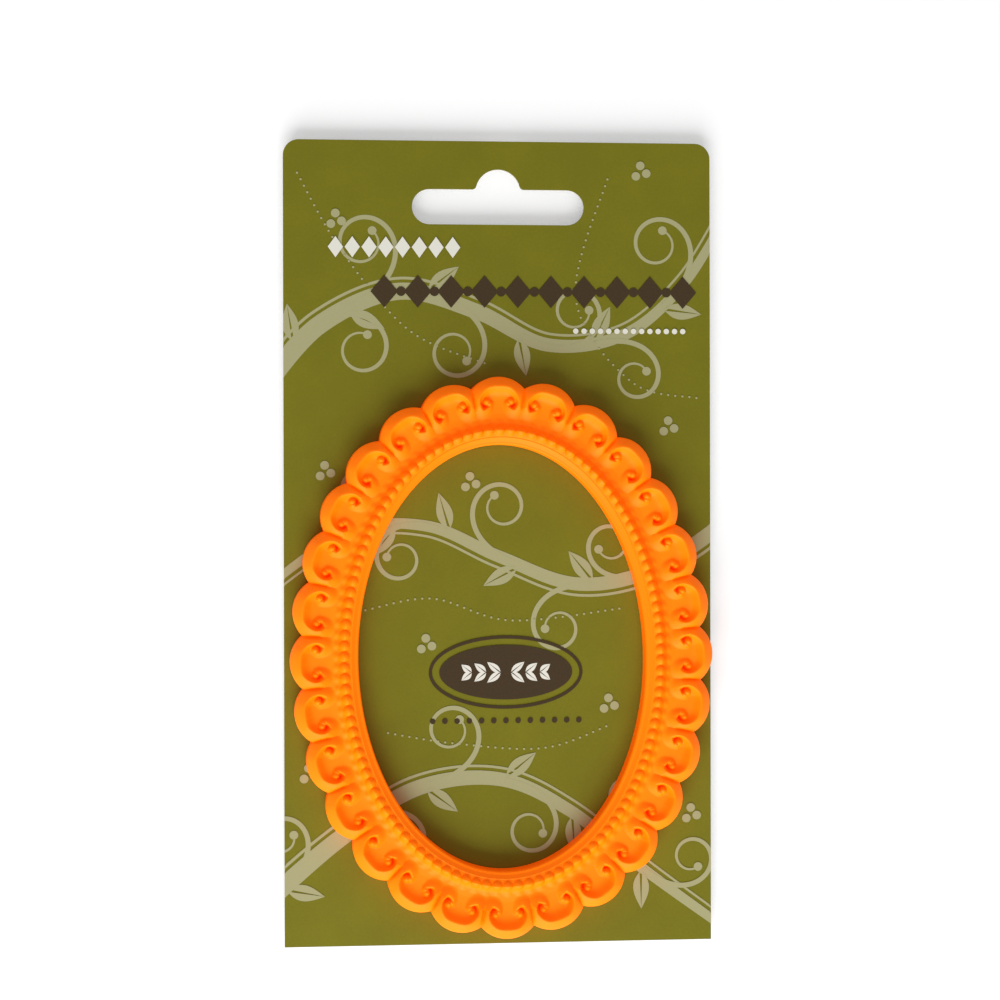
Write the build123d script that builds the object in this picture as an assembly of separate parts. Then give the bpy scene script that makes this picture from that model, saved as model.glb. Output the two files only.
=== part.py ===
from build123d import *
import math
import os

# A small oval photo frame that magnets hold to a steel door, as it is sold: stuck by pads of tape on
# its printed hang card. The card lies on its back. X runs across the card, Y up it towards the hang
# slot and Z out of its printed face, and the origin is the middle of the card's back.
# Lengths are in millimetres and angles in degrees. A length with out in its name runs outwards from
# the edge of the oval opening, square to it, and a level is a height above the moulding's back.

# Hang card, die-cut from paperboard
card_width = 77
card_height = 144
card_thick = 0.6
card_head_radius = 2.8
slot_width = 31
slot_height = 6.3
slot_drop = 11.8
dome_radius = 4.05
dome_rise = 2.7
dome_fillet = 0.8

# Place of the moulding's middle: right of the card's middle, and above its lower edge
frame_shift = 0.3
frame_rise = 51.5
frame_turn = 0.9

# Oval opening of the moulding and the section of its rim: lip, bead seat, slope and floor
opening_width = 51.5
opening_height = 76
lip_wall_height = 3.7
lip_width = 1.4
lip_rise = 1.2
seat_depth = 0.3
seat_width = 2.0
slope_width = 1.2
slope_drop = 0.9
floor_width = 3.4

# Beads along the seat behind the lip
beads_per_lobe = 4
bead_sides = 5
bead_radius = 0.82
bead_height = 1.0
bead_sink = 0.05
bead_lean = 24
bead_shift = 0.15

# Scalloped lobes round the moulding, each edged by a C-shaped scroll that ends in two volutes
lobes_per_quarter = 7
lobe_radius = 6.1
lobe_top_out = 12.1
lobe_notch_out = 10.2
lobe_root_out = 6.4
lobe_land = 0.1
scroll_height = 1.3
scroll_sides = 12
bank_width = 1.5
dish_width = 1.75
volute_radius = 1.75
volute_lean = 20
volute_sides = 6
volute_side = 2.63
volute_out = 7.2
groove_radius = 1.2
groove_sides = 6
groove_shift = 0.15
groove_rise = 0.3
groove_depth = 0.85
knob_radius = 0.9
knob_sides = 4
knob_shift = 0.3
knob_rise = 0.2

# Hollow back of the moulding: a channel between two walls, with bosses for the magnets
back_wall = 1.5
back_depth = 2.0
channel_width = 6.5
boss_wall = 1.1

# Disc magnets in the bosses, and the pads of double-sided tape between them and the card
magnet_diameter = 8
magnet_thick = 2
magnet_out = 5.6
magnet_clearance = 0.1
magnet_lobe = 4
pad_side = 6
pad_thick = 0.3

# How far a cutting form runs past what it cuts, and how finely a line round the oval is measured
overrun = 1
line_steps = 40

quarters = 4
lobe_count = quarters * lobes_per_quarter
bead_count = beads_per_lobe * lobe_count
opening_half_width = opening_width / 2
opening_half_height = opening_height / 2

crest_level = lip_wall_height + lip_rise
seat_level = crest_level - seat_depth
floor_level = seat_level - slope_drop
scroll_level = floor_level + scroll_height

seat_end_out = lip_width + seat_width
floor_out = seat_end_out + slope_width
floor_end_out = floor_out + floor_width
bead_out = lip_width + seat_width / 2 + bead_shift
lobe_centre_out = lobe_top_out - lobe_radius
bank_foot_radius = lobe_radius - lobe_land
scroll_radius = bank_foot_radius - bank_width
pocket_radius = magnet_diameter / 2 + magnet_clearance

upright = (Align.CENTER, Align.CENTER, Align.MIN)
turned_over = (180, 0, 0)


def oval_spot(turn, out):
    """The point at turn, clockwise from the top, that lies out from the opening, and its outward way."""
    way_x = opening_half_height * math.sin(turn)
    way_y = opening_half_width * math.cos(turn)
    size = math.hypot(way_x, way_y)
    way_x, way_y = way_x / size, way_y / size
    x = opening_half_width * math.sin(turn) + out * way_x
    y = opening_half_height * math.cos(turn) + out * way_y
    return x, y, way_x, way_y


def even_turns(count, out):
    """The turns of count places spaced evenly round the line that lies out from the opening."""
    steps = count * line_steps
    turns = [math.tau * step / steps for step in range(steps + 1)]
    spots = [oval_spot(turn, out)[:2] for turn in turns]
    lengths = [0]
    for here, there in zip(spots, spots[1:]):
        lengths.append(lengths[-1] + math.dist(here, there))
    places = []
    step = 0
    for number in range(count):
        length = lengths[-1] * number / count
        while lengths[step + 1] <= length:
            step += 1
        share = (length - lengths[step]) / (lengths[step + 1] - lengths[step])
        places.append(turns[step] + share * (turns[step + 1] - turns[step]))
    return places


def at_turn(turn, out=0, level=0):
    """The place at turn whose X runs clockwise round the rim and whose Y runs outwards."""
    x, y, way_x, way_y = oval_spot(turn, out)
    return Plane(origin=(x, y, level), x_dir=(way_y, -way_x, 0), z_dir=(0, 0, 1)).location


lobe_turns = even_turns(lobe_count, lobe_notch_out)
bead_turns = even_turns(bead_count, bead_out)


def swept_quarter(section_points):
    """A section, given as points of out and level, swept round the upper right of the opening."""
    points = [(opening_half_width + out, level) for out, level in section_points]
    section = make_face(Plane.XZ * Polyline(*points, close=True))
    arc = EllipticalCenterArc(
        (0, 0), opening_half_width, opening_half_height, start_angle=0, arc_size=math.degrees(math.pi / 2)
    )
    return sweep(section, path=arc)


def rim():
    """A quarter of the rim from the opening to the lobes."""
    return swept_quarter(
        [
            (0, 0),
            (0, lip_wall_height),
            (lip_width, crest_level),
            (lip_width, seat_level),
            (seat_end_out, seat_level),
            (floor_out, floor_level),
            (floor_end_out, floor_level),
            (floor_end_out, 0),
        ]
    )


def beyond(low_out, height):
    """A block that holds all of a lobe that lies beyond low_out."""
    size = 2 * lobe_top_out
    return Pos(0, low_out, 0) * Box(size, size, height, align=(Align.CENTER, Align.MIN, Align.MIN))


def lean(width, height, sides):
    """The taper that draws the corners of an extruded polygon in by width over its height."""
    return math.degrees(math.atan2(width * math.cos(math.pi / sides), height))


def lobe():
    """One scalloped lobe: a round plate with a sloping C-shaped scroll round its edge, and two volutes."""
    plate = Pos(0, lobe_centre_out) * Cylinder(lobe_radius, floor_level, align=upright)
    bank = extrude(
        RegularPolygon(bank_foot_radius, scroll_sides),
        scroll_height,
        taper=lean(bank_width, scroll_height, scroll_sides),
    )
    dish = extrude(
        RegularPolygon(scroll_radius, scroll_sides),
        scroll_height,
        taper=lean(dish_width, scroll_height, scroll_sides),
    )
    bank -= Pos(0, 0, scroll_height) * Rot(turned_over) * dish
    body = plate + Pos(0, lobe_centre_out, floor_level) * bank
    body &= beyond(lobe_root_out, scroll_level)
    volute = extrude(RegularPolygon(volute_radius, volute_sides), scroll_height, taper=volute_lean)
    volute = Pos(volute_side, volute_out, floor_level) * volute
    return body + [volute, mirror(volute, about=Plane.YZ)]


def grooves():
    """The moon-shaped grooves of a lobe's two volutes, each hooked round the knob in its eye."""
    moon = Pos(groove_shift, groove_rise) * RegularPolygon(groove_radius, groove_sides)
    moon -= Pos(-knob_shift, knob_rise) * RegularPolygon(knob_radius, knob_sides)
    groove = extrude(moon, groove_depth + scroll_height + overrun)
    groove = Pos(volute_side, volute_out, floor_level - groove_depth) * groove
    return groove + mirror(groove, about=Plane.YZ)


def bead():
    """One bead, a faceted dome whose foot is sunk a little into its seat."""
    dome = extrude(RegularPolygon(bead_radius, bead_sides), bead_height + bead_sink, taper=bead_lean)
    return Pos(0, 0, -bead_sink) * dome


def hollow():
    """The space that is left open in the back of a quarter, between its walls and round its boss."""
    end_out = back_wall + channel_width
    space = swept_quarter(
        [
            (back_wall, -overrun),
            (back_wall, back_depth),
            (end_out, back_depth),
            (end_out, -overrun),
        ]
    )
    boss = Cylinder(pocket_radius + boss_wall, back_depth, align=upright)
    return space - at_turn(lobe_turns[magnet_lobe], magnet_out) * boss


def moulding():
    """The whole moulding: its upper right quarter, mirrored to the left and then downwards."""
    turns = lobe_turns[: lobes_per_quarter + 2]
    one_lobe = lobe()
    lobe_grooves = grooves()
    one_bead = bead()
    body = rim() + [at_turn(turn) * one_lobe for turn in turns]
    body -= [at_turn(turn) * lobe_grooves for turn in turns]
    body += [
        at_turn(turn, bead_out, seat_level) * one_bead
        for turn in bead_turns[: beads_per_lobe * lobes_per_quarter + 1]
    ]
    body -= hollow()
    socket = Cylinder(pocket_radius, magnet_thick, align=upright)
    body -= at_turn(lobe_turns[magnet_lobe], magnet_out) * socket
    reach = opening_height + lobe_top_out
    corner = (Align.MIN, Align.MIN, Align.MIN)
    body &= Box(reach, reach, max(scroll_level, seat_level) + bead_height, align=corner)
    body += mirror(body, about=Plane.YZ)
    body += mirror(body, about=Plane.XZ)
    return body


def hang_card():
    """The card, with round head corners and a hang slot whose dome sits on the peg."""
    board = Rectangle(card_width, card_height)
    board = fillet(board.vertices().sort_by(Axis.Y)[2:], card_head_radius)
    slot = SlotOverall(slot_width, slot_height) + Pos(0, dome_rise) * Circle(dome_radius)
    dome_corners = slot.vertices().group_by(Axis.Y)[-1].sort_by(lambda corner: abs(corner.X))[:2]
    slot = fillet(dome_corners, dome_fillet)
    board -= Pos(0, card_height / 2 - slot_drop) * slot
    return extrude(board, card_thick)


def magnet():
    """One disc magnet, flush with the moulding's back."""
    return Cylinder(magnet_diameter / 2, magnet_thick, align=upright)


def tape_pad():
    """One pad of double-sided tape, pressed flat between a magnet and the card."""
    return Box(pad_side, pad_side, pad_thick, align=(Align.CENTER, Align.CENTER, Align.MAX))


half_count = lobe_count // 2
magnet_lobes = {
    "upper_right": magnet_lobe,
    "lower_right": half_count - magnet_lobe,
    "lower_left": half_count + magnet_lobe,
    "upper_left": lobe_count - magnet_lobe,
}
frame_spot = (frame_shift, frame_rise - card_height / 2, card_thick + pad_thick)
frame_place = Location(frame_spot, (0, 0, frame_turn))
pieces = {"hang_card": hang_card(), "scroll_frame": frame_place * moulding()}
for corner, number in magnet_lobes.items():
    magnet_place = frame_place * at_turn(lobe_turns[number], magnet_out)
    pieces["magnet_" + corner] = magnet_place * magnet()
    pieces["tape_pad_" + corner] = magnet_place * tape_pad()

os.makedirs("parts", exist_ok=True)
for name, piece in pieces.items():
    export_step(piece, f"parts/{name}.step")
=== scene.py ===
import math

import bmesh
import bpy
import numpy as np
from mathutils import Matrix, Vector


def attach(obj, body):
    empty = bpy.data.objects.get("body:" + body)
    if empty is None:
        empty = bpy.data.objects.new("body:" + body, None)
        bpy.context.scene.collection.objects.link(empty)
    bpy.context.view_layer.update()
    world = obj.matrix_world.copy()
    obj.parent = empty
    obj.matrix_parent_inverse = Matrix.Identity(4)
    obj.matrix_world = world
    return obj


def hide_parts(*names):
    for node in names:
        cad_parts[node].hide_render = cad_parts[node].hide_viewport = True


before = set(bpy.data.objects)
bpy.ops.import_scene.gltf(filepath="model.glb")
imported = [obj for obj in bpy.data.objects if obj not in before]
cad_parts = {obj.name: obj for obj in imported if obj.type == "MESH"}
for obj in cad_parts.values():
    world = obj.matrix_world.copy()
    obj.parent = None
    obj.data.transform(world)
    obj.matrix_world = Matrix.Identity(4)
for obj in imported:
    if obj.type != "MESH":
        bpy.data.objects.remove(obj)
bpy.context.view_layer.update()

# Hang card: a die-cut sheet of paperboard, printed olive on its face and left bare on its back.
# The offset ink is matt with a fine grain that comes from the board's fibres, and the cut edge
# shows the pale core.
MM = 0.001
INK_DEEP = "#6E6A10"
INK_FULL = "#7A7612"
BOARD_BACK = "#D8D5CC"
BOARD_CORE = "#C9C4AE"
INK_ROUGHNESS = 0.7
BOARD_IOR = 1.3
FIBRE_GRAIN = 0.35 * MM
FIBRE_DETAIL = 3
FIBRE_CLOUD = 9 * MM
FIBRE_RELIEF = 0.01 * MM
FIBRE_BUMP = 0.6
NOISE_MIDDLE = 0.5
FACING = 0.5


def colour(written):
    """The linear colour, with alpha, of one that is written as sRGB hex."""
    shares = [int(written[start : start + 2], 16) / 255 for start in (1, 3, 5)]
    return [s / 12.92 if s <= 0.04045 else ((s + 0.055) / 1.055) ** 2.4 for s in shares] + [1]


def new_finish(name):
    """A material and its principled shader."""
    material = bpy.data.materials.new(name)
    material.use_nodes = True
    return material, material.node_tree.nodes["Principled BSDF"]


def add_node(material, kind, inputs, **settings):
    """Adds a node; each input is a value, or the output of another node that is linked to it."""
    node = material.node_tree.nodes.new(kind)
    for name, value in settings.items():
        setattr(node, name, value)
    for name, value in inputs.items():
        if isinstance(value, bpy.types.NodeSocket):
            material.node_tree.links.new(value, node.inputs[name])
        else:
            node.inputs[name].default_value = value
    return node


def place_on(material):
    """The place of a point in its piece's own space."""
    return add_node(material, "ShaderNodeTexCoord", {}).outputs["Object"]


def noise(material, size, detail=2):
    """Noise of a given size."""
    inputs = {"Vector": place_on(material), "Scale": 1 / size, "Detail": detail}
    return add_node(material, "ShaderNodeTexNoise", inputs).outputs["Fac"]


def reckon(material, operation, one, other):
    """One value worked out from two."""
    return add_node(material, "ShaderNodeMath", {0: one, 1: other}, operation=operation).outputs[0]


def mix(material, share, one, other):
    """A colour between one and another."""
    inputs = {"Factor": share, "A": one, "B": other}
    return add_node(material, "ShaderNodeMix", inputs, data_type="RGBA").outputs["Result"]


def spread(material, value, low, high):
    """A value from 0 to 1 spread between low and high."""
    inputs = {"Value": value, "To Min": low, "To Max": high}
    return add_node(material, "ShaderNodeMapRange", inputs).outputs["Result"]


def emboss(material, shader, height, depth, strength):
    """Gives a shader's surface a fine relief."""
    inputs = {"Height": height, "Distance": depth, "Strength": strength}
    bump = add_node(material, "ShaderNodeBump", inputs)
    material.node_tree.links.new(bump.outputs["Normal"], shader.inputs["Normal"])


def wear(piece, material):
    """Gives a piece one material all over."""
    piece.data.materials.clear()
    piece.data.materials.append(material)


def printed_board():
    """Offset-printed paperboard, told apart by the way a surface faces: ink, cut core or bare back."""
    material, shader = new_finish("offset_printed_paperboard")
    grain = noise(material, FIBRE_GRAIN, FIBRE_DETAIL)
    tone = reckon(material, "ADD", grain, noise(material, FIBRE_CLOUD))
    tone = reckon(material, "SUBTRACT", tone, NOISE_MIDDLE)
    ink = mix(material, tone, colour(INK_DEEP), colour(INK_FULL))
    facing = add_node(material, "ShaderNodeNewGeometry", {}).outputs["Normal"]
    height = add_node(material, "ShaderNodeSeparateXYZ", {"Vector": facing}).outputs["Z"]
    is_back = reckon(material, "LESS_THAN", height, -FACING)
    bare = mix(material, is_back, colour(BOARD_CORE), colour(BOARD_BACK))
    skin = mix(material, reckon(material, "GREATER_THAN", height, FACING), bare, ink)
    material.node_tree.links.new(skin, shader.inputs["Base Color"])
    emboss(material, shader, grain, FIBRE_RELIEF, FIBRE_BUMP)
    shader.inputs["Roughness"].default_value = INK_ROUGHNESS
    shader.inputs["IOR"].default_value = BOARD_IOR
    return material


wear(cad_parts["hang_card"], printed_board())

# Print on the card's face, in offset ink: three running vines in sage with curls, leaves and berries,
# and over them plain ornaments in white and dark ink, which are rows of lozenges and dots and an oval
# badge. An ink is a flat film. Places are in the card's own millimetres, headings in degrees from +X.
CARD_EDGE = (38.5, 72)
INK_LEVELS = {"sage": 0.62, "dark": 0.72, "white": 0.76}
INK_STEP = 0.001
INK_SHADES = {"sage": "#AAA67C", "dark": "#3C2A1E", "white": "#E9E7DC"}
INK_GAPS = 0.12

# Each vine: the spots that it bends through, its widths from root to tip, and its tendrils, each by
# its share of the way along, its length and the degrees that it winds through.
VINES = (
    (
        ((-42, 28), (-32, 39), (-18, 45), (-4, 41.5), (9, 35.5), (23, 37.5), (34, 47), (42, 60)),
        (3.6, 3.0, 2.2, 1.5),
        (
            (0.1, 40, -430), (0.2, 44, 470), (0.34, 42, -470),
            (0.52, 40, 480), (0.66, 34, -430), (0.8, 42, 470),
        ),
    ),
    (
        ((42, 4), (28, -5), (14, -7.5), (0, -2.5), (-13, 3), (-27, 2), (-42, -8)),
        (2.8, 2.4, 2.0, 1.4),
        ((0.16, 34, -450), (0.3, 36, 450), (0.46, 40, -480), (0.62, 36, 460), (0.74, 30, -430)),
    ),
    (
        ((-42, -64), (-29, -53), (-15, -44), (0, -42.5), (13, -48.5), (26, -59), (41, -70)),
        (3.4, 2.8, 2.2, 1.6),
        (
            (0.06, 30, 420), (0.2, 34, -440), (0.36, 40, 480),
            (0.52, 36, -450), (0.68, 36, 460), (0.84, 32, 430),
        ),
    ),
)
BEND_STEPS = 24
CURL_STEPS = 90
CURL_WINDING = 1.8
SIDE_LINE_GAP = 0.8
SIDE_LINE = (0.55, 0.4)
TENDRIL = (1.0, 0.85, 0.35)
LEAF_STEPS = 16
LEAF_ROOT = 0.6
LEAF_LEAN = 52
LEAF_LENGTH = 6.8
LEAF_WIDTH = 2.9
LEAF_SWELL = 0.8
LEAF_VEIN = 0.08

BERRY = 0.8
BERRY_BUNCH = ((0, 0), (1.9, 0.5), (0.8, 1.9))
BERRY_SPOTS = (
    (-30, 57), (25, 66), (30, 20), (-32, 12), (-6, 10), (-14, -19), (19, -30), (-35, -42), (34, -50),
)
DOTTED_LINES = (
    ((-36, 66), (-28, 52), (-16, 38), (-2, 32)),
    ((36, 26), (24, 29), (14, 44), (20, 66)),
    ((-24, -12), (-12, -10), (2, -14), (22, -12)),
    ((-20, -34), (-8, -36), (8, -37), (20, -33)),
)
DOT_PITCH = 1.3
DOT_RADIUS = 0.2
ROUND = 16
LOZENGE = 4

# Each row: its ink, first spot, pitch and count, and the radius, corners and stretch of what is in it.
TOP_ROWS = (
    ("white", (-29.2, 52.9), 3, 8, 1.9, LOZENGE, 0.72),
    ("dark", (-20.5, 45), 6, 10, 2.9, LOZENGE, 0.85),
    ("dark", (-17.5, 45), 6, 9, 0.85, ROUND, 1),
    ("white", (14, 38), 1.5, 14, 0.5, ROUND, 1),
)
LOW_ROW = ("dark", (-12, -32), 2.2, 13, 0.5, ROUND, 1)
BADGE_SPOT = (1.2, -23.3)
BADGE_RADIUS = 4.9
BADGE_STRETCH = 2.45
BADGE_CORNERS = 64
BADGE_RING = (13.6, 6.3)
BADGE_RING_STEPS = 97
BADGE_LINE = (0.55, 0.55)
SPRIG_START = 1
SPRIG_PITCH = 2.6
SPRIG_LENGTHS = (3.0, 2.65, 2.3)
SPRIG_WIDTH = 1.3
SPRIG_LEAN = 38


def new_piece(name, points, faces):
    """An object with a mesh of those points, given in millimetres, and faces."""
    mesh = bpy.data.meshes.new(name)
    mesh.from_pydata(np.asarray(points) * MM, [], faces)
    mesh.update()
    piece = bpy.data.objects.new(name, mesh)
    bpy.context.scene.collection.objects.link(piece)
    return piece


films = {ink: ([], []) for ink in INK_LEVELS}
layers = dict.fromkeys(INK_LEVELS, 0)


def lay(ink, spots, faces):
    """Adds faces between spots to a film, cut off at the card's edges, over what it already holds."""
    points, shapes = films[ink]
    spots = np.clip(spots, np.negative(CARD_EDGE), CARD_EDGE)
    kept = [face for face in faces if np.ptp(spots[list(face)], axis=0).min() > 0]
    shapes += [tuple(len(points) + corner for corner in face) for face in kept]
    points += [(x, y, INK_LEVELS[ink] + INK_STEP * layers[ink]) for x, y in spots]
    layers[ink] += 1


def bend(*spots):
    """A smooth line through spots."""
    spots = np.array([spots[0], *spots, spots[-1]], float)
    share = np.linspace(0, 1, BEND_STEPS, endpoint=False)[:, None]
    spans = []
    for a, b, c, d in zip(spots, spots[1:], spots[2:], spots[3:]):
        square = (2 * a - 5 * b + 4 * c - d) * share**2
        cube = (3 * b - a - 3 * c + d) * share**3
        spans.append(b + 0.5 * ((c - a) * share + square + cube))
    return np.concatenate([*spans, spots[-1:]])


def curl(spot, heading, length, turn):
    """A line that leaves spot at a heading and winds up through turn degrees, ever tighter."""
    share = np.linspace(0, 1, CURL_STEPS)
    way = np.radians(heading + turn * share**CURL_WINDING)
    steps = np.stack([np.cos(way), np.sin(way)], -1) * length / len(share)
    return np.asarray(spot) + np.cumsum(steps, axis=0) - steps[0]


def lefts(line):
    """The way to the left all along a line."""
    ways = np.gradient(line, axis=0)
    return np.stack([-ways[:, 1], ways[:, 0]], -1) / np.linalg.norm(ways, axis=1, keepdims=True)


def halves(widths, count):
    """Half of the width at each of a line's points, where it changes through widths."""
    return np.interp(np.linspace(0, 1, count), np.linspace(0, 1, len(widths)), widths) / 2


def strip(count):
    """Faces between two lines of as many points, of which the second follows the first."""
    return [(n, n + 1, count + n + 1, count + n) for n in range(count - 1)]


def stroke(ink, line, widths):
    """Draws a line with a width that changes along it."""
    aside = lefts(line) * halves(widths, len(line))[:, None]
    lay(ink, np.concatenate([line - aside, line + aside]), strip(len(line)))


def blobs(ink, spots, radius, corners=ROUND, stretch=1):
    """Draws round dots, or lozenges of four corners, stretched sideways."""
    turns = np.arange(corners) * math.tau / corners
    rim = radius * np.stack([stretch * np.cos(turns), np.sin(turns)], -1)
    points = np.concatenate([rim + spot for spot in spots])
    lay(ink, points, [tuple(corners * n + np.arange(corners)) for n in range(len(spots))])


def row(ink, first, pitch, count, radius, corners, stretch):
    """Draws a level row of dots or lozenges."""
    spots = [(first[0] + pitch * number, first[1]) for number in range(count)]
    blobs(ink, spots, radius, corners, stretch)


def dotted(ink, line, pitch, radius):
    """Draws dots along a line."""
    lengths = np.concatenate([[0], np.cumsum(np.linalg.norm(np.diff(line, axis=0), axis=1))])
    places = np.arange(0, lengths[-1], pitch)
    blobs(ink, np.stack([np.interp(places, lengths, line[:, axis]) for axis in (0, 1)], -1), radius)


def leaf(ink, spot, heading, length, width):
    """Draws a pointed leaf in two halves, with a bare vein between them."""
    share = np.linspace(0, 1, LEAF_STEPS)
    way = math.radians(heading)
    along = np.array([math.cos(way), math.sin(way)])
    left = np.array([-along[1], along[0]])
    middle = spot + np.outer(length * share, along)
    vein = LEAF_VEIN * width * (1 - share)
    swell = np.maximum(0.5 * width * np.sin(math.pi * share**LEAF_SWELL), vein)
    for side in (1, -1):
        edges = [middle + side * np.outer(offset, left) for offset in (vein, swell)]
        lay(ink, np.concatenate(edges), [face[::side] for face in strip(LEAF_STEPS)])


def vine(line, widths, tendrils):
    """Draws a thick stem, a thin line beside it, and tendrils, each with a leaf across from it."""
    stroke("sage", line, widths)
    aside, half = lefts(line), halves(widths, len(line))
    stroke("sage", line + aside * (half + SIDE_LINE_GAP)[:, None], SIDE_LINE)
    for share, length, turn in tendrils:
        step = int(share * (len(line) - 1))
        way = line[step + 1] - line[step]
        heading = math.degrees(math.atan2(way[1], way[0]))
        tendril = curl(line[step], heading, length, turn)
        stroke("sage", tendril, TENDRIL)
        blobs("sage", tendril[-1:], BERRY)
        side = math.copysign(1, turn)
        root = line[step] - aside[step] * side * half[step] * LEAF_ROOT
        leaf("sage", root, heading - side * LEAF_LEAN, LEAF_LENGTH, LEAF_WIDTH)


def badge():
    """Draws an oval badge with a line round it and a sprig of leaves to either side of its middle."""
    blobs("dark", [BADGE_SPOT], BADGE_RADIUS, BADGE_CORNERS, BADGE_STRETCH)
    turns = np.linspace(0, math.tau, BADGE_RING_STEPS)
    circle = np.stack([np.cos(turns), np.sin(turns)], -1)
    stroke("dark", circle * BADGE_RING + BADGE_SPOT, BADGE_LINE)
    for side, heading in ((1, 0), (-1, 180)):
        for number, length in enumerate(SPRIG_LENGTHS):
            spot = np.array(BADGE_SPOT) + (side * (SPRIG_START + SPRIG_PITCH * number), 0)
            for lean in (SPRIG_LEAN, -SPRIG_LEAN):
                leaf("white", spot, heading + lean, length, SPRIG_WIDTH)


for spots, widths, tendrils in VINES:
    vine(bend(*spots), widths, tendrils)
for spot in BERRY_SPOTS:
    blobs("sage", np.array(BERRY_BUNCH) + spot, BERRY)
for spots in DOTTED_LINES:
    dotted("sage", bend(*spots), DOT_PITCH, DOT_RADIUS)
for values in TOP_ROWS:
    row(*values)
badge()
row(*LOW_ROW)


def offset_ink(name, shade):
    """Offset ink that lets a little of the board's grain through."""
    material, shader = new_finish(name)
    gaps = spread(material, noise(material, FIBRE_GRAIN, FIBRE_DETAIL), INK_GAPS, 0)
    tone = mix(material, gaps, colour(shade), colour(INK_FULL))
    material.node_tree.links.new(tone, shader.inputs["Base Color"])
    shader.inputs["Roughness"].default_value = INK_ROUGHNESS
    shader.inputs["IOR"].default_value = BOARD_IOR
    return material


for ink, shade in INK_SHADES.items():
    film = new_piece("print_" + ink, *films[ink])
    wear(film, offset_ink(ink + "_offset_ink", shade))
    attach(film, "card")

# Tape pads: squares of white double-sided foam tape that hold the moulding to its card.
# Acrylic foam is dull and a little uneven, and its cut sides show fine cells.
CORNERS = ("upper_right", "lower_right", "lower_left", "upper_left")
TAPE_WHITE = "#ECEAE0"
TAPE_ROUGHNESS = 0.85
TAPE_CELL = 0.25 * MM
TAPE_RELIEF = 0.03 * MM
TAPE_BUMP = 0.5


def foam_tape():
    """White acrylic foam tape."""
    material, shader = new_finish("acrylic_foam_tape")
    inputs = {"Vector": place_on(material), "Scale": 1 / TAPE_CELL}
    cells = add_node(material, "ShaderNodeTexVoronoi", inputs).outputs["Distance"]
    emboss(material, shader, cells, TAPE_RELIEF, TAPE_BUMP)
    shader.inputs["Base Color"].default_value = colour(TAPE_WHITE)
    shader.inputs["Roughness"].default_value = TAPE_ROUGHNESS
    return material


tape_finish = foam_tape()
for corner in CORNERS:
    wear(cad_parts["tape_pad_" + corner], tape_finish)

# Magnets: discs of sintered neodymium, plated with bright nickel and glued into the moulding's back.
# The tumbled plating is smooth, with a faint haze.
NICKEL = "#B9B7B0"
NICKEL_ROUGHNESS = (0.22, 0.44)
NICKEL_HAZE = 1.5 * MM


def nickel_plate():
    """Bright nickel plate, hazed a little by tumbling."""
    material, shader = new_finish("bright_nickel_plate")
    rough = spread(material, noise(material, NICKEL_HAZE), *NICKEL_ROUGHNESS)
    material.node_tree.links.new(rough, shader.inputs["Roughness"])
    shader.inputs["Base Color"].default_value = colour(NICKEL)
    shader.inputs["Metallic"].default_value = 1
    return material


magnet_finish = nickel_plate()
for corner in CORNERS:
    wear(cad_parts["magnet_" + corner], magnet_finish)

# Moulding: one injection moulding of orange ABS, with beads behind its lip and scalloped lobes, each
# edged by a scroll that curls up at both ends. Its back is cored out, with bosses for the magnets.
# Lengths are in millimetres, out from the edge of the opening or up from the moulding's back.
FRAME_PLACE = (0.3, -20.5, 0.9)
FRAME_TURN = 0.9
HALF_WIDTH = 25.75
HALF_HEIGHT = 38
LINE_STEPS = 40

RIM_OUT = (0, 0.32, 0.42, 1.28, 1.42, 1.6, 2.6, 3.2, 3.8, 4.6, 5.5, 8.2, 12.5)
RIM_LEVEL = (3.66, 3.95, 3.93, 4.62, 4.59, 4.66, 4.92, 4.56, 4.08, 3.76, 3.6, 3.55, 3.55)
BEADS = 114
BEAD_OUT = 2.55
BEAD_REACH = (0.94, 0.98)
BEAD_RISE = 0.62
BEAD_ROUND = 0.75
FLUTE_DEPTH = 0.1
FLUTE_OUT = (3.2, 4.6)

LOBES = 28
LOBE_RADIUS = 6.1
LOBE_CENTRE_OUT = 6.0
NOTCH_OUT = 10.2
EDGE_ROUND = 0.25

# The crest of a scroll, sideways and out, from the head of its lobe round into its eye. Levels along
# it, and how far and how steeply it falls on its two sides, are given at shares of its length.
CREST_SPOTS = (
    (-0.7, 10.35), (0.7, 10.35), (1.9, 10.1), (2.7, 9.5), (3.22, 8.75), (3.5, 7.85), (3.4, 6.9),
    (2.8, 6.12), (2.1, 6.4), (1.8, 7.2),
)
CREST_STEP = 4
CREST_SHARES = (0, 0.3, 0.5, 0.66, 0.78, 0.9, 1)
CREST_LEVELS = (5.2, 5.15, 5.1, 5.0, 4.58, 4.5, 4.5)
OUTER_WIDTHS = (1.2, 1.2, 1.5, 1.6, 1.8, 1.25, 1.0)
OUTER_POWERS = (1.3, 1.3, 1.4, 1.4, 1.25, 1.6, 2)
INNER_WIDTHS = (1.12, 0.9, 0.62, 0.55, 0.55, 0.55, 0.55)
DISH_DEPTH = 1.6
DISH_POWER = 1.7
KNOB_SPOT = (2.2, 7.66)
KNOB_LEVEL = 4.6
KNOB_RADIUS = 0.85
GROOVE_DEPTH = 0.9
GROOVE_RADIUS = 0.87
GROOVE_WIDTH = 0.2
GROOVE_TURN = math.radians(-55)
GROOVE_SPREAD = math.radians(55)
CREASE_DEPTH = 0.36
CREASE_WIDTH = 0.25
CREASE_OUT = (6.2, 7.2, 8.6, 9.8)
CREASE_SHARES = (0, 1, 1, 0.3)
BLEND = 0.5

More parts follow.
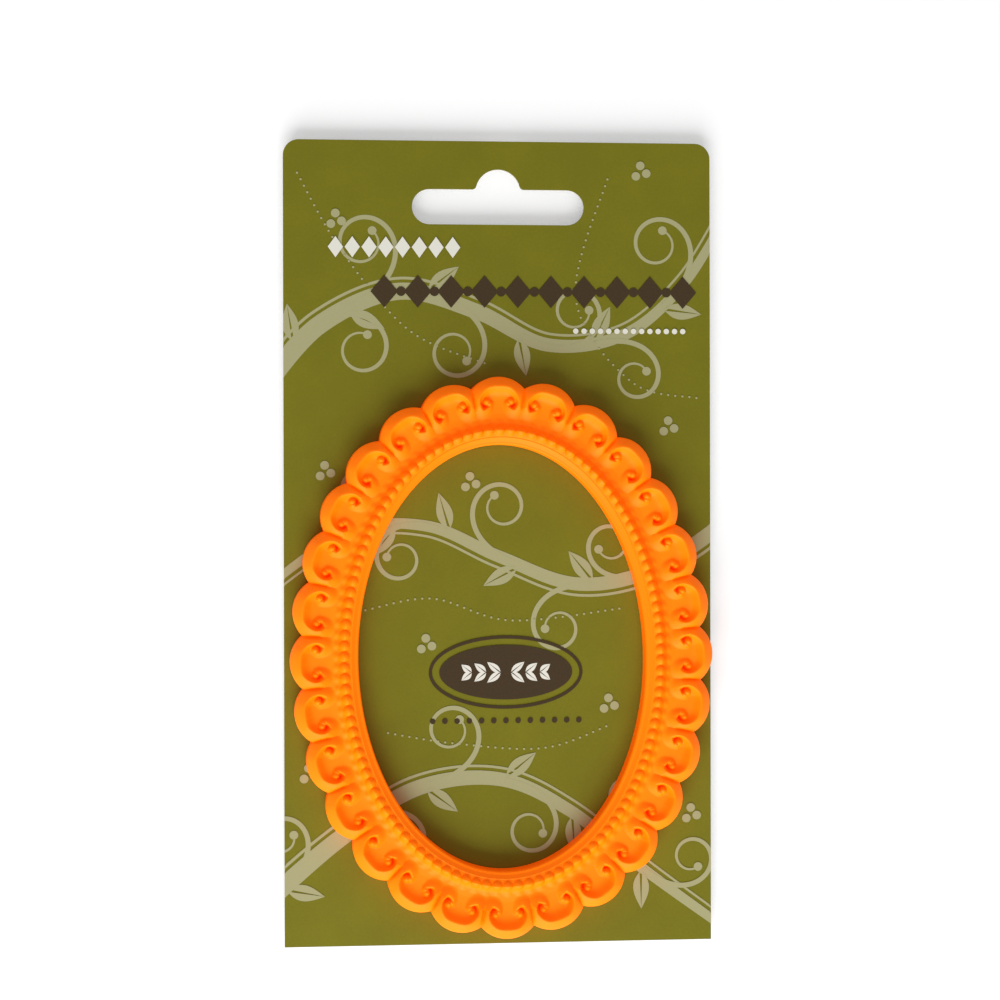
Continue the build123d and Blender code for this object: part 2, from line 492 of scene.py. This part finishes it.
# Where the mesh has its columns, crowded towards the notches, and its rows
COLUMNS_PER_LOBE = 84
COLUMN_CROWD = 0.65
COLUMN_POWER = 1.8
LIP_ROWS = (0, 0.05, 0.12, 0.22, 0.32, 0.42, 0.7, 1.0, 1.2, 1.28, 1.35, 1.42, 1.5, 1.58)
BEAD_ROWS = np.linspace(1.66, 3.86, 23)
SLOPE_ROWS = np.linspace(3.98, 5.0, 8)
LOBE_ROWS = 55
EDGE_ROWS = np.array([0.25, 0.15, 0.07, 0.02, 0])

SLAB = 2.5
BACK_WALL = 1.5
BACK_DEPTH = 2.0
CHANNEL_WIDTH = 6.5
CHANNEL_STEP = 7
MAGNET_LOBES = (4, 10, 18, 24)
MAGNET_OUT = 5.6
SOCKET_RADIUS = 4.1
BOSS_RADIUS = 5.2
DISC_CORNERS = 64
OVERRUN = 1
SEAM_MARGIN = 0.01
WELD = 0.002
SHARP_CORNER = math.radians(50)


def oval(turns, outs):
    """Points that lie outs from the opening at turns clockwise from its top, and the outward ways."""
    ways = np.stack([HALF_HEIGHT * np.sin(turns), HALF_WIDTH * np.cos(turns)], -1)
    ways = ways / np.linalg.norm(ways, axis=-1, keepdims=True)
    edge = np.stack([HALF_WIDTH * np.sin(turns), HALF_HEIGHT * np.cos(turns)], -1)
    return edge + np.asarray(outs)[..., None] * ways, ways


def line_lengths(out):
    """Many turns round the opening, and how far along the line that lies out from it each one is."""
    turns = np.linspace(0, math.tau, LINE_STEPS * BEADS + 1)
    steps = np.diff(oval(turns, np.full(len(turns), out))[0], axis=0)
    return turns, np.concatenate([[0], np.cumsum(np.linalg.norm(steps, axis=1))])


def even_turns(count, out):
    """The turns of count places spaced evenly round the line that lies out from the opening."""
    turns, lengths = line_lengths(out)
    return np.interp(lengths[-1] * np.arange(count + 1) / count, lengths, turns)


def soft_max(one, other, width):
    """The higher of two levels, with the corner between them filled over a width."""
    fill = np.maximum(width - np.abs(one - other), 0)
    return np.maximum(one, other) + fill * fill / (4 * width)


crest_line = bend(*CREST_SPOTS)[::CREST_STEP]


def scroll(side, out):
    """The level of a lobe's scroll at places given sideways and out in the lobe's own frame."""
    side = np.abs(side)
    knob = np.hypot(side - KNOB_SPOT[0], out - KNOB_SPOT[1]) / KNOB_RADIUS
    level = KNOB_LEVEL - knob**2
    for share, start, end in zip(np.linspace(0, 1, len(crest_line) - 1), crest_line, crest_line[1:]):
        way = end - start
        gap_side, gap_out = side - start[0], out - start[1]
        run = np.clip((gap_side * way[0] + gap_out * way[1]) / (way @ way), 0, 1)
        away = np.hypot(gap_side - run * way[0], gap_out - run * way[1])
        top, outer_width, outer_power, inner_width = (
            np.interp(share, CREST_SHARES, values)
            for values in (CREST_LEVELS, OUTER_WIDTHS, OUTER_POWERS, INNER_WIDTHS)
        )
        outside = way[0] * gap_out - way[1] * gap_side > 0
        outer = (away / outer_width) ** outer_power
        inner = DISH_DEPTH * (1 - np.exp(-((away / inner_width) ** DISH_POWER)))
        level = np.maximum(level, top - np.where(outside, outer, inner))
    return level


def groove(side, out):
    """How far the moon-shaped groove that hooks round a curl's knob is sunk, from none to all."""
    side, out = np.abs(side) - KNOB_SPOT[0], out - KNOB_SPOT[1]
    turn = (np.arctan2(out, side) - GROOVE_TURN + math.pi) % math.tau - math.pi
    across = (np.hypot(side, out) - GROOVE_RADIUS) / GROOVE_WIDTH
    return np.exp(-(across**2) - (turn / GROOVE_SPREAD) ** 2)


lobe_turns = even_turns(LOBES, NOTCH_OUT)
notch_turns = even_turns(2 * LOBES, NOTCH_OUT)[1::2]


def lobe_frames(numbers):
    """The point of the opening's edge under each numbered lobe, and the clockwise and outward ways."""
    edge, ways = oval(lobe_turns[numbers], np.zeros(len(numbers)))
    return edge, np.stack([ways[:, 1], -ways[:, 0]], -1), ways


def in_lobe(points, numbers):
    """Where points lie sideways and out in the frames of the lobes with those numbers."""
    edge, aside, ways = lobe_frames(numbers)
    gap = points - edge[:, None]
    return np.einsum("crk,ck->cr", gap, aside), np.einsum("crk,ck->cr", gap, ways)


def columns():
    """The turn of each column of the mesh, the number of its lobe, and how far out that lobe ends."""
    share = np.linspace(0, 1, COLUMNS_PER_LOBE // 2, endpoint=False)
    share = (1 - COLUMN_CROWD) * share + COLUMN_CROWD * share**COLUMN_POWER
    turns, numbers = [], []
    for number in range(LOBES):
        low = notch_turns[number - 1] - (math.tau if number == 0 else 0)
        middle, high = lobe_turns[number], notch_turns[number]
        turns += [low + (middle - low) * share, [middle], high - (high - middle) * share[:0:-1]]
        numbers += [number] * COLUMNS_PER_LOBE
    turns, numbers = np.concatenate(turns), np.array(numbers)
    edge, ways = oval(turns, np.zeros(len(turns)))
    lobe_edge, aside, lobe_ways = lobe_frames(numbers)
    centre = lobe_edge + LOBE_CENTRE_OUT * lobe_ways - edge
    along = np.sum(centre * ways, axis=1)
    return turns, numbers, along + np.sqrt(LOBE_RADIUS**2 - np.sum(centre**2, axis=1) + along**2)


def crease(turns, numbers, outs, points):
    """How deep the line between neighbouring lobes is cut at each column and row."""
    late = turns > lobe_turns[numbers]
    spot, way = oval(notch_turns[np.where(late, numbers, numbers - 1)], np.zeros(len(turns)))
    gap = points - spot[:, None]
    away = np.abs(gap[..., 0] * way[:, None, 1] - gap[..., 1] * way[:, None, 0])
    reach = np.interp(outs, CREASE_OUT, CREASE_SHARES)
    return CREASE_DEPTH * reach * np.exp(-((away / CREASE_WIDTH) ** 2))


def levels(turns, numbers, outs):
    """Where each column and row of the moulding's face lies, and its level there."""
    points = oval(turns[:, None], outs)[0]
    face = np.interp(outs, RIM_OUT, RIM_LEVEL)
    side, out = in_lobe(points, numbers)
    face = soft_max(face, scroll(side, out), BLEND) - GROOVE_DEPTH * groove(side, out)
    face = face - crease(turns, numbers, outs, points)

    line_turns, lengths = line_lengths(BEAD_OUT)
    pitch = lengths[-1] / BEADS
    count = np.interp(turns % math.tau, line_turns, lengths)[:, None] / pitch
    swell = np.clip((outs - FLUTE_OUT[0]) / (FLUTE_OUT[1] - FLUTE_OUT[0]), 0, 1)
    face = face + FLUTE_DEPTH * np.cos(math.tau * count) * np.sin(math.pi * swell)
    aside = (count - np.round(count)) * pitch / BEAD_REACH[0]
    gap = aside**2 + ((outs - BEAD_OUT) / BEAD_REACH[1]) ** 2
    return points, face + BEAD_RISE * np.clip(1 - gap, 0, 1) ** BEAD_ROUND


def rows(ends):
    """How far out each row of the mesh is, for columns that end at ends."""
    rim = np.concatenate([LIP_ROWS, BEAD_ROWS, SLOPE_ROWS])
    ends = ends[:, None]
    share = np.linspace(0, 1, LOBE_ROWS + 1)[1:]
    lobe = rim[-1] + share * (ends - EDGE_ROWS[0] - rim[-1])
    return np.concatenate([np.repeat(rim[None], len(ends), 0), lobe, ends - EDGE_ROWS[1:]], axis=1)


def rounded(level, gap):
    """A level lowered by the small round that runs along an edge, where gap is the way to the edge."""
    inside = np.clip(1 - gap / EDGE_ROUND, 0, 1)
    return level - EDGE_ROUND * (1 - np.sqrt(1 - inside**2))


def loop_faces(columns_count, rows_count, is_closed):
    """Faces round a ring of columns, each a run of rows_count points that may close on itself."""
    faces = []
    for column in range(columns_count):
        here, there = column * rows_count, (column + 1) % columns_count * rows_count
        for step in range(rows_count if is_closed else rows_count - 1):
            after = (step + 1) % rows_count
            faces.append((here + step, here + after, there + after, there + step))
    return faces


def ring(name, turns, outs_and_levels):
    """A closed solid that runs round the opening, with a section of points given by out and level."""
    outs, heights = (
        np.array([np.broadcast_to(value, len(turns)) for value in values]).T
        for values in zip(*outs_and_levels)
    )
    flat = oval(turns[:, None], outs)[0]
    points = np.concatenate([flat, heights[..., None]], -1).reshape(-1, 3)
    return new_piece(name, points, loop_faces(len(turns), len(outs_and_levels), True))


def disc(name, centre, radius, low, high):
    """A round solid that stands upright on a centre."""
    count = DISC_CORNERS
    turns = np.linspace(0, math.tau, count, endpoint=False)
    circle = np.stack([np.cos(turns), np.sin(turns)], -1) * radius + centre
    points = [(*spot, level) for level in (low, high) for spot in circle]
    faces = [tuple(reversed(range(count))), tuple(range(count, 2 * count))]
    faces += [(n, (n + 1) % count, count + (n + 1) % count, count + n) for n in range(count)]
    return new_piece(name, points, faces)


def cut(piece, tool):
    """Cuts a tool's shape out of a piece and removes the tool."""
    change = piece.modifiers.new("cut", "BOOLEAN")
    change.operation = "DIFFERENCE"
    change.solver = "EXACT"
    change.object = tool
    shape = bpy.data.meshes.new_from_object(
        piece.evaluated_get(bpy.context.evaluated_depsgraph_get())
    )
    piece.modifiers.clear()
    piece.data = shape
    bpy.data.objects.remove(tool)


def moulding_back(turns, ends):
    """The lower slab of the moulding, with the channel and the sockets cut into its back."""
    slab = ring("moulding_back", turns, [(0, 0), (0, SLAB), (ends, SLAB), (ends, 0)])
    near, far = BACK_WALL, BACK_WALL + CHANNEL_WIDTH
    section = [(near, -OVERRUN), (near, BACK_DEPTH), (far, BACK_DEPTH), (far, -OVERRUN)]
    channel = ring("channel", turns[::CHANNEL_STEP], section)
    sockets = []
    for number in MAGNET_LOBES:
        centre = oval(lobe_turns[number : number + 1], [MAGNET_OUT])[0][0]
        cut(channel, disc("boss", centre, BOSS_RADIUS, -2 * OVERRUN, SLAB))
        sockets.append(disc("socket", centre, SOCKET_RADIUS, -OVERRUN, BACK_DEPTH))
    for tool in (channel, *sockets):
        cut(slab, tool)
    return slab


def moulding_front(turns, numbers, ends):
    """The moulding's face with its relief, and its two walls down to the slab."""
    outs = rows(ends)
    flat, face = levels(turns, numbers, outs)
    face = rounded(rounded(face, outs), ends[:, None] - outs)
    foot = np.full((len(turns), 1), SLAB)
    flat = np.concatenate([flat[:, :1], flat, flat[:, -1:]], axis=1)
    face = np.concatenate([foot, face, foot], axis=1)
    points = np.concatenate([flat, face[..., None]], -1).reshape(-1, 3)
    return new_piece("moulding_front", points, loop_faces(len(turns), face.shape[1], False))


def moulding_mesh():
    """The whole moulding as one closed mesh, laid in its place on the card."""
    turns, numbers, ends = columns()
    front = moulding_front(turns, numbers, ends)
    back = moulding_back(turns, ends)
    shape = bmesh.new()
    shape.from_mesh(back.data)
    seam = (SLAB - SEAM_MARGIN) * MM
    covered = [face for face in shape.faces if all(vert.co.z > seam for vert in face.verts)]
    bmesh.ops.delete(shape, geom=covered, context="FACES")
    shape.from_mesh(front.data)
    bmesh.ops.remove_doubles(shape, verts=shape.verts, dist=WELD * MM)
    bmesh.ops.recalc_face_normals(shape, faces=shape.faces)
    for part in (front, back):
        bpy.data.objects.remove(part)
    piece = bpy.data.objects.new("moulding", bpy.data.meshes.new("moulding"))
    bpy.context.scene.collection.objects.link(piece)
    shape.to_mesh(piece.data)
    shape.free()
    place = Matrix.Translation(Vector(FRAME_PLACE) * MM)
    piece.data.transform(place @ Matrix.Rotation(math.radians(FRAME_TURN), 4, "Z"))
    piece.data.shade_smooth()
    piece.data.set_sharp_from_angle(angle=SHARP_CORNER)
    return piece


ORANGE = "#FF8B00"
# Painted light: a red glow given to the whole moulding, so that its shaded slopes, grooves and pits
# stay bright red
PAINTED_RED_GLOW = "#FF2800"
PAINTED_GLOW_STRENGTH = 0.35
ABS_ROUGHNESS = 0.5
ABS_IOR = 1.4
ABS_SHINE = 0.2
MOULD_GRAIN = 0.12 * MM
MOULD_RELIEF = 0.006 * MM
MOULD_BUMP = 0.5


def moulded_abs():
    """Satin injection-moulded ABS in a day-glow orange, with the fine grain of a blasted mould and a
    painted red glow that brightens its shaded parts.
    """
    material, shader = new_finish("moulded_orange_abs")
    emboss(material, shader, noise(material, MOULD_GRAIN), MOULD_RELIEF, MOULD_BUMP)
    shader.inputs["Base Color"].default_value = colour(ORANGE)
    shader.inputs["Roughness"].default_value = ABS_ROUGHNESS
    shader.inputs["IOR"].default_value = ABS_IOR
    shader.inputs["Specular IOR Level"].default_value = ABS_SHINE
    # The emission is painted light, a red glow that lifts the shade in the relief
    shader.inputs["Emission Color"].default_value = colour(PAINTED_RED_GLOW)
    shader.inputs["Emission Strength"].default_value = PAINTED_GLOW_STRENGTH
    return material


moulding = moulding_mesh()
wear(moulding, moulded_abs())
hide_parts("scroll_frame")
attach(moulding, "frame")

# Studio: a wide white sweep under the card, a soft light low at the foot of the picture, and the
# camera square over the card, a little to its right. The camera's place was fitted to the photo.
WHITE = (1, 1, 1, 1)
FLOOR_REACH = 1500
FLOOR_LEVEL = -2
SWEEP_WHITE = "#E4E4E4"
SWEEP_ROUGHNESS = 0.9
SWEEP_GLOW = 0.32
LIGHT_SIZE = 0.8
LIGHT_RISE = math.radians(33)
LIGHT_BEARING = math.radians(-12)
LIGHT_REACH = 0.9
LIGHT_POWER = 11
SKY = 0.42
CAMERA_LENS = 93.6
CAMERA_SENSOR = 36
CAMERA_SPOT = (0.27375, 7.62906, 467.5686)
CAMERA_TURNS = (0.10387, 0.00267, 0.00223)


def white_sweep():
    """White paper that the camera and mirrors see brighter, and that still takes the card's shadow."""
    material, shader = new_finish("white_paper_sweep")
    shader.inputs["Base Color"].default_value = colour(SWEEP_WHITE)
    shader.inputs["Roughness"].default_value = SWEEP_ROUGHNESS
    shader.inputs["Emission Color"].default_value = WHITE
    path = add_node(material, "ShaderNodeLightPath", {})
    seen = path.outputs["Is Camera Ray"]
    for kind in ("Is Glossy Ray", "Is Transmission Ray"):
        seen = reckon(material, "MAXIMUM", seen, path.outputs[kind])
    glow = reckon(material, "MULTIPLY", seen, SWEEP_GLOW)
    material.node_tree.links.new(glow, shader.inputs["Emission Strength"])
    return material


sides = ((-1, -1), (1, -1), (1, 1), (-1, 1))
corners = [(FLOOR_REACH * x, FLOOR_REACH * y, FLOOR_LEVEL) for x, y in sides]
floor = new_piece("floor", corners, [(0, 1, 2, 3)])
wear(floor, white_sweep())

lamp = bpy.data.lights.new("soft_light", "AREA")
lamp.shape = "SQUARE"
lamp.size = LIGHT_SIZE
lamp.energy = LIGHT_POWER
light = bpy.data.objects.new("soft_light", lamp)
bpy.context.scene.collection.objects.link(light)
level_share = math.cos(LIGHT_RISE)
way = Vector(
    (
        math.sin(LIGHT_BEARING) * level_share,
        -math.cos(LIGHT_BEARING) * level_share,
        math.sin(LIGHT_RISE),
    )
)
light.location = way * LIGHT_REACH
light.rotation_mode = "QUATERNION"
light.rotation_quaternion = way.to_track_quat("Z", "Y")

world = bpy.data.worlds.new("studio")
world.use_nodes = True
sky = world.node_tree.nodes["Background"]
sky.inputs["Color"].default_value = WHITE
sky.inputs["Strength"].default_value = SKY
bpy.context.scene.world = world

camera = bpy.data.objects.new("camera", bpy.data.cameras.new("camera"))
camera.data.lens = CAMERA_LENS
camera.data.sensor_width = CAMERA_SENSOR
across, tip, roll = (Matrix.Rotation(-turn, 4, axis) for turn, axis in zip(CAMERA_TURNS, "YXZ"))
camera.matrix_world = across @ tip @ roll @ Matrix.Translation(Vector(CAMERA_SPOT) * MM)
bpy.context.scene.collection.objects.link(camera)
bpy.context.scene.camera = camera
bpy.context.scene.view_settings.view_transform = "Standard"
